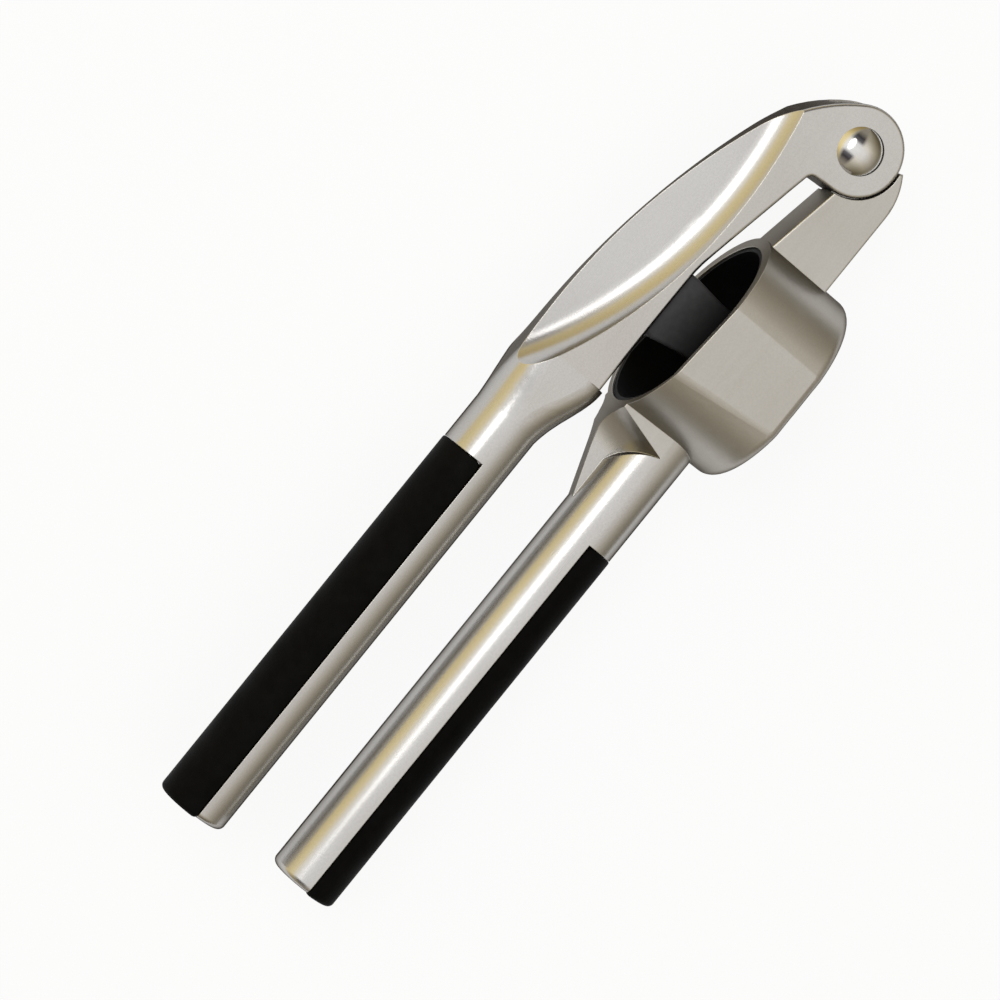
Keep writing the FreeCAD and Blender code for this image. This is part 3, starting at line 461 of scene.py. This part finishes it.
def turned(profile, centre, steps=96):
    """Points and faces of a profile turned round a vertical axis.

    Point (i, j) is centre + (r_i cos a_j, r_i sin a_j, h_i): radius and
    height come from the profile, and the angle a_j goes once round.  The
    profile starts and ends on the axis, which closes the surface.  Faces
    point outwards when it starts at the lower pole.
    """
    radius, height = profile[1:-1, 0], profile[1:-1, 1]
    angle = np.linspace(0.0, 2.0 * pi, steps, endpoint=False)
    ring = np.stack([np.outer(radius, np.cos(angle)) + centre[0],
                     np.outer(radius, np.sin(angle)) + centre[1],
                     np.repeat(height[:, None], steps, 1)], axis=2)
    poles = np.array([[centre[0], centre[1], profile[0, 1]],
                      [centre[0], centre[1], profile[-1, 1]]])
    verts = np.vstack([ring.reshape(-1, 3), poles])

    rows = len(radius)
    here = np.arange(steps)
    there = (here + 1) % steps
    row = (np.arange(rows - 1) * steps)[:, None]
    quads = np.stack([row + here, row + there,
                      row + steps + there, row + steps + here], axis=2)
    first_pole = np.full(steps, rows * steps)
    last_pole = first_pole + 1
    last = (rows - 1) * steps
    opening = np.stack([first_pole, there, here], axis=1)
    closing = np.stack([last + here, last + there, last_pole], axis=1)
    faces = quads.reshape(-1, 4).tolist() + opening.tolist() + closing.tolist()
    return verts, faces


# %% [markdown]
# The setting tool leaves the head as a shallow part of a ball.  Its rim stands
# up a twentieth of a millimetre before the ball begins, because a knife edge
# would crumble under the tool.

# %% Profile of a domed head


def domed(face, top, head, rim=0.00005, steps=40):
    """Profile of a dome from its pole, at height top, to its rim at face.

    It is part of a circle through the pole and the rim's outer edge, which
    stands the height rim off the face: r = B sin a, and the drop from the
    pole is B (1 - cos a), with B the radius of the ball.
    """
    rise = abs(top - face) - rim
    sign = 1.0 if top > face else -1.0
    ball = (head ** 2 + rise ** 2) / (2.0 * rise)
    slope = np.linspace(0.0, np.arcsin(head / ball), steps)
    curve = np.stack([ball * np.sin(slope),
                      top - sign * ball * (1.0 - np.cos(slope))], axis=1)
    return np.vstack([curve, [[head, face]]])


# %% [markdown]
# The near head and the shank are one piece of steel.  The far head is a cap
# with a blind hole, pressed on the end of the shank.  Places, lengths and the
# width of the heads come from the boxes of the two CAD nodes.  A box doesn't
# tell how thick the rod is, so that is typed, and has to match the CAD model.
# Both pieces move with the lever.

# %% Rivet
pin_low, pin_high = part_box("hinge_pin")
cap_low, cap_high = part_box("hinge_pin_cap")
axis = ((pin_low.x + pin_high.x) / 2.0, (pin_low.y + pin_high.y) / 2.0)
head = (pin_high.x - pin_low.x) / 2.0
shank = 0.0025              # radius of the rod
chamfer = 0.0003            # at the end of the rod
face = pin_high.z - (cap_high.z - cap_low.z)
rod = [[0.0, pin_low.z], [shank - chamfer, pin_low.z],
       [shank, pin_low.z + chamfer], [shank, face]]
profile = np.vstack([rod, domed(face, pin_high.z, head)[::-1]])
verts, faces = turned(profile, axis)
rivet = as_piece("rivet", verts, faces, polished, "lever")
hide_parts("hinge_pin")
print("head across, in mm:", round(2000.0 * head, 2))

# %% Far head of the rivet
bore = shank + 0.00001      # a press fit leaves hardly any gap
hole_bottom = pin_low.z - 0.0001
hole = [[bore, cap_high.z], [bore, hole_bottom], [0.0, hole_bottom]]
profile = np.vstack([domed(cap_high.z, cap_low.z, head), hole])
verts, faces = turned(profile, axis)
far_head = as_piece("rivet_far_head", verts, faces, polished, "lever")
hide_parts("hinge_pin_cap")

# %% [markdown]
# ## The rubber inlays
# Each grip is a rubber inlay moulded into a recess: half a tube that wraps the
# outer half of a handle.  It could be half a cylinder with a Bevel modifier,
# but that gives the same round on every edge.  Here the section is carried
# along the handle as an array, so each end and edge has its own round.  The
# corners are cut round in the width, and the skin rolls down at both ends and
# along both sides, as soft rubber does.

# %% Rounds at the edges


def rolled(gap, size):
    """How much a quarter round takes away at a gap from its edge.

    It takes size (1 - sqrt(1 - n^2)), where n falls from 1 at the edge to 0
    at the distance size from it.
    """
    near = np.clip(1.0 - gap / size, 0.0, 1.0)
    return size * (1.0 - np.sqrt(1.0 - near ** 2))


def places_along(start, stop, first_round, last_round, rings=220, inside=14):
    """Places along X: even on the length and close together in the rounds.

    In a round of size t they are t (1 - cos u) from the end, with u from 0
    to a right angle.
    """
    drop = 1.0 - np.cos(np.linspace(0.0, pi / 2.0, inside))
    even = np.linspace(start + first_round, stop - last_round, rings)
    return np.concatenate([start + first_round * drop, even[1:-1],
                           stop - last_round * drop[::-1]])


# %% [markdown]
# Two grids of points, the outer skin and the inner one, lie back to back.  The
# next helper runs round both and caps the two ends, so that the inlay is a
# closed solid, as the real one is.

# %% Close two skins into a solid


def closed_shell(outside, inside):
    """Points and faces of two grids of the same size, joined all round.

    Row i of the outer grid and the reversed row i of the inner grid make one
    loop.  Neighbouring loops are joined by quads, and both end loops are
    filled with a strip of quads across the wall.
    """
    across = outside.shape[1]
    loop = np.concatenate([outside, inside[:, ::-1]], axis=1)
    count, around = loop.shape[:2]
    here = np.arange(around)
    there = (here + 1) % around
    row = (np.arange(count - 1) * around)[:, None]
    quads = np.stack([row + here, row + around + here,
                      row + around + there, row + there], axis=2)
    step = np.arange(across - 1)
    mate = around - 1 - step
    opening = np.stack([step, step + 1, mate - 1, mate], axis=1)
    closing = opening[:, ::-1] + (count - 1) * around
    faces = np.vstack([quads.reshape(-1, 4), opening, closing])
    return loop.reshape(-1, 3), faces


# %% [markdown]
# The skin itself is a polar surface round the handle's axis.  The points stand
# a little closer together towards the two long edges, where the rubber bends
# most.

# %% An inlay
wall = 0.00215              # thickness of the rubber
corner = 0.0016             # round of the corners near the hinge
side_roll = 0.0005          # roll of the long edges and the end near the hinge
end_roll = 0.0012           # roll at the free end of the handle
least = 0.0002              # rubber that is left in the deepest corner
crowding = 0.35             # how far points crowd towards the long edges


def inlay(low, high, side, across=44):
    """Points and faces of half a tube of rubber along X.

    At the place x and the share s from -1 to 1 of its width, the outer skin
    is axis + R(x, s) (0, side cos a, sin a) with a = s A(x).  A(x) is a
    right angle less what the round corners take away, and R(x, s) is the
    outer radius less the rolls.  The inner skin has one radius.
    """
    outer = (high.z - low.z) / 2.0
    inner = outer - wall
    middle = (low.z + high.z) / 2.0
    level = low.y if side > 0 else high.y

    x = places_along(low.x, high.x, end_roll, corner)
    front, back = high.x - x, x - low.x
    narrow = rolled(front, corner) + rolled(back, corner / 2.0)
    reach = (pi / 2.0 - narrow / outer)[:, None]
    even = np.linspace(-1.0, 1.0, across)
    share = (1.0 - crowding) * even + crowding * np.sin(even * pi / 2.0)
    angle = reach * share
    lower = (rolled(front, side_roll) + rolled(back, end_roll))[:, None]
    gap = (reach - np.abs(angle)) * outer
    radius = np.maximum(outer - lower - rolled(gap, side_roll), inner + least)

    def skin(r):
        """Points at radius r for every place and angle."""
        return np.stack([np.repeat(x[:, None], across, 1),
                         level + side * r * np.cos(angle),
                         middle + r * np.sin(angle)], axis=2)

    verts, faces = closed_shell(skin(radius),
                                skin(np.full_like(radius, inner)))
    if side > 0:
        faces = faces[:, ::-1]
    return verts, faces.tolist()


# %% [markdown]
# The upper inlay faces +Y and the lower one -Y.  The second is a mirror image
# of the first, which would turn it inside out, so `inlay` turns the faces of
# one of them round.

# %% Both inlays
for name, node, side, body in (
        ("upper_rubber_inlay", "upper_grip", 1.0, "lever"),
        ("lower_rubber_inlay", "lower_grip", -1.0, "base")):
    low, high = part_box(node)
    verts, faces = inlay(low, high, side)
    piece = as_piece(name, verts, faces, rubber, body, crease=50.0)
    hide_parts(node)
    print("length, in mm:", round(1000.0 * (high.x - low.x), 1))

# %% [markdown]
# ## The floor
# The press lies on white paper.  Lit paper looks grey beside polished metal,
# and more light would bleach the metal.  So the paper keeps its own colour for
# the light that falls on it, and looks white to the camera and in reflections.
# A Light Path node tells these rays apart.  A small share of the lit paper
# stays in the mix, and with it the shadow of the press.

# %% Floor
half_floor = 1.6
corners = half_floor * np.array([[-1, -1, 0], [1, -1, 0], [1, 1, 0],
                                 [-1, 1, 0]], float)
mesh = bpy.data.meshes.new("floor")
mesh.from_pydata(corners.tolist(), [], [(0, 1, 2, 3)])
floor = bpy.data.objects.new("floor", mesh)
bpy.context.scene.collection.objects.link(floor)
print("floor, in metres:", 2.0 * half_floor)

# %% Paper
white_share = 0.90
paper_tone = (0.91, 0.925, 0.95)
paper, tree, shader = new_finish("paper")
feed(tree, shader.inputs["Base Color"], paper_tone)
shader.inputs["Roughness"].default_value = 0.9
glow = tree.nodes.new("ShaderNodeEmission")
feed(tree, glow.inputs["Color"], white)
glow.inputs["Strength"].default_value = 1.0
ray = tree.nodes.new("ShaderNodeLightPath").outputs
seen = maths(tree, "ADD", ray["Is Camera Ray"], ray["Is Glossy Ray"])
seen = maths(tree, "ADD", seen, ray["Is Transmission Ray"])
blend = tree.nodes.new("ShaderNodeMixShader")
feed(tree, blend.inputs["Fac"],
     between(tree, seen, 0.0, white_share, 0.0, 1.0))
feed(tree, blend.inputs[1], shader.outputs["BSDF"])
feed(tree, blend.inputs[2], glow.outputs["Emission"])
feed(tree, tree.nodes["Material Output"].inputs["Surface"],
     blend.outputs["Shader"])
mesh.materials.append(paper)
print("finish:", paper.name)

# %% [markdown]
# ## The camera
# The press is seen nearly from above its side, tilted 17 degrees from the
# rivet's axis towards the lever, and turned so that the handles run from the
# lower left to the hinge at the upper right.  The three directions of the
# camera are written out, because the lamp and the room are placed by them too:
# `back` points from the press to the camera, and `across` is square to it and
# to the handles.

# %% Directions of the camera
tilt = radians(17.0)
turn = radians(51.0)
back = Vector((0.0, sin(tilt), cos(tilt)))
across = Vector((0.0, -cos(tilt), sin(tilt)))
along = Vector((1.0, 0.0, 0.0))
right = cos(turn) * along + sin(turn) * across
up = sin(turn) * along - cos(turn) * across


def standing(x, y, z, place):
    """Matrix of an object with these three axes at that place."""
    facing_only = Matrix((x, y, z)).transposed().to_4x4()
    return Matrix.Translation(place) @ facing_only


print("camera looks from", [round(v, 3) for v in back])

# %% [markdown]
# A long lens from 0.7 m keeps both handles nearly parallel, as a product lens
# does.  Its length follows from what it must see at the press.

# %% Camera
mid_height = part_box("hopper_with_lower_handle")[1].z / 2.0
target = Vector((-0.0508, 0.018, mid_height))
distance = 0.7
view_width = 0.19724        # what the camera sees across, at the press
lens = bpy.data.cameras.new("camera")
lens.sensor_width = 36.0
lens.lens = lens.sensor_width * distance / view_width
camera = bpy.data.objects.new("camera", lens)
camera.matrix_world = standing(right, up, back, target + distance * back)
bpy.context.scene.collection.objects.link(camera)
bpy.context.scene.camera = camera
print("lens", round(lens.lens, 1), "mid height", round(mid_height, 4))

# %% [markdown]
# ## The lamp
# Metal shows what stands round it, so a studio for metal is a room of large
# soft lights.  One long soft box stands over the handles.  It draws the narrow
# white band that runs down every round part, and the soft shadow on the paper.
# It is as long as it is so that the band doesn't break off, and it stands
# ahead, past the hinge, so that the band narrows towards the handles' ends.

# %% Soft box
lamp_angle = radians(14.0)  # from the camera's line, towards the lever
lamp_distance = 0.9
lamp_width, lamp_length = 0.30, 0.68
lamp_ahead = 0.20           # how far its middle stands ahead along +X
radiance = 2.3
lamp = bpy.data.lights.new("key", "AREA")
lamp.shape = "ELLIPSE"
lamp.size = lamp_length
lamp.size_y = lamp_width
lamp.energy = radiance * pi * lamp_width * lamp_length
facing = cos(lamp_angle) * back - sin(lamp_angle) * across
place = target + lamp_distance * facing + lamp_ahead * along
key = bpy.data.objects.new("key", lamp)
key.matrix_world = standing(along, facing.cross(along), facing, place)
bpy.context.scene.collection.objects.link(key)
print("lamp, in watts:", round(lamp.energy, 2))

# %% [markdown]
# ## The room
# The rest of the studio is a dome of soft colour.  A round handle shows it as
# bands along its length, one for each angle round the handle, so the dome is
# painted by that angle, the bearing.  It is 0 on the camera's line and grows
# towards the lever.  A picture of a real room could do the same, but a ramp
# needs no file, and each of its stops can be moved by itself.

# %% Bearing in the room
world = bpy.data.worlds.new("studio")
world.use_nodes = True
bpy.context.scene.world = world
tree = world.node_tree
way = tree.nodes.new("ShaderNodeTexCoord").outputs["Generated"]


def share(direction):
    """How much of the looking direction lies along one fixed direction."""
    dot = tree.nodes.new("ShaderNodeVectorMath")
    dot.operation = "DOT_PRODUCT"
    tree.links.new(way, dot.inputs[0])
    dot.inputs[1].default_value = direction
    return dot.outputs["Value"]


bearing = maths(tree, "ARCTAN2", share(-across), share(back))
lengthwise = maths(tree, "ABSOLUTE", share(along))
print("world:", world.name)

# %% [markdown]
# White hangs over the press.  A straw-coloured wall stands on the lever's
# side, which gives the round parts their warm band.  The hopper's side is dim,
# which gives them a dark lower edge.  The band and the edge belong to the
# room, not to the nickel, and they go away in a plain white one.  A ramp clips
# its colours at 1, so they are written as shares of the brightest light, and
# the strength of the world brings them back.

# %% Bands of the room
brightest = 1.5


def ramp(factor, stops):
    """Colours between (place, colour) stops."""
    made = tree.nodes.new("ShaderNodeValToRGB")
    elements = made.color_ramp.elements
    for index, (place, colour) in enumerate(stops):
        stop = elements[index] if index < 2 else elements.new(place)
        stop.position = place
        stop.color = (*colour, 1.0)
    tree.links.new(factor, made.inputs["Fac"])
    return made.outputs["Color"]


def at(degrees, *light):
    """A stop of the dome: its place on the ramp and its share of light."""
    return 0.5 + degrees / 360.0, tuple(c / brightest for c in light)


bands = ramp(between(tree, bearing, 0.0, 1.0, -pi, pi), [
    at(-125, 0.42, 0.39, 0.33),
    at(-95, 0.30, 0.27, 0.21),
    at(-72, 0.60, 0.55, 0.46),
    at(-40, 1.09, 1.07, 1.05),
    at(-12, 1.22, 1.22, 1.23),
    at(30, 1.26, 1.26, 1.26),
    at(42, 1.24, 1.06, 0.61),
    at(78, 1.02, 0.83, 0.42),
    at(110, 0.60, 0.54, 0.56),
])
print("brightest light of the room:", brightest)

# %% [markdown]
# The soft lights of a table-top studio are only about as long as the object,
# so towards both ends of the handles the room gets darker and warmer.  That is
# what shapes the ends of the hopper.

# %% Ends of the room
towards_ends = ramp(lengthwise, [
    (0.0, white),
    (0.18, (0.99, 0.98, 0.97)),
    (0.40, (0.93, 0.90, 0.82)),
    (0.75, (0.50, 0.46, 0.37)),
    (1.0, (0.32, 0.29, 0.23)),
])
print("nodes in the world so far:", len(tree.nodes))

# %% [markdown]
# In line with the lamp the room is darkest, because nothing hangs between its
# ends and the white panels.  Flat faces that look up don't reflect these two
# gaps, but the domed rivet does, and they draw its dark marks.

# %% Gaps at the ends of the lamp
beside_lamp = ramp(lengthwise, [
    (0.0, white),
    (0.30, (0.90, 0.90, 0.90)),
    (0.46, (0.16, 0.15, 0.16)),
    (0.66, (0.05, 0.045, 0.05)),
    (0.90, (0.30, 0.27, 0.22)),
])
gap_bearing = radians(6.0)
gap_inside, gap_outside = radians(18.0), radians(32.0)
aside = maths(tree, "SUBTRACT", bearing, gap_bearing)
aside = maths(tree, "ABSOLUTE", aside)
near_lamp = between(tree, aside, 1.0, 0.0, gap_inside, gap_outside)
dimming = tint(tree, near_lamp, towards_ends, beside_lamp)

# %% Light up the room
sky = tree.nodes["Background"]
feed(tree, sky.inputs["Color"], times(tree, bands, dimming))
sky.inputs["Strength"].default_value = brightest
bpy.context.scene.view_settings.view_transform = "Standard"
print("nodes in the world:", len(tree.nodes))
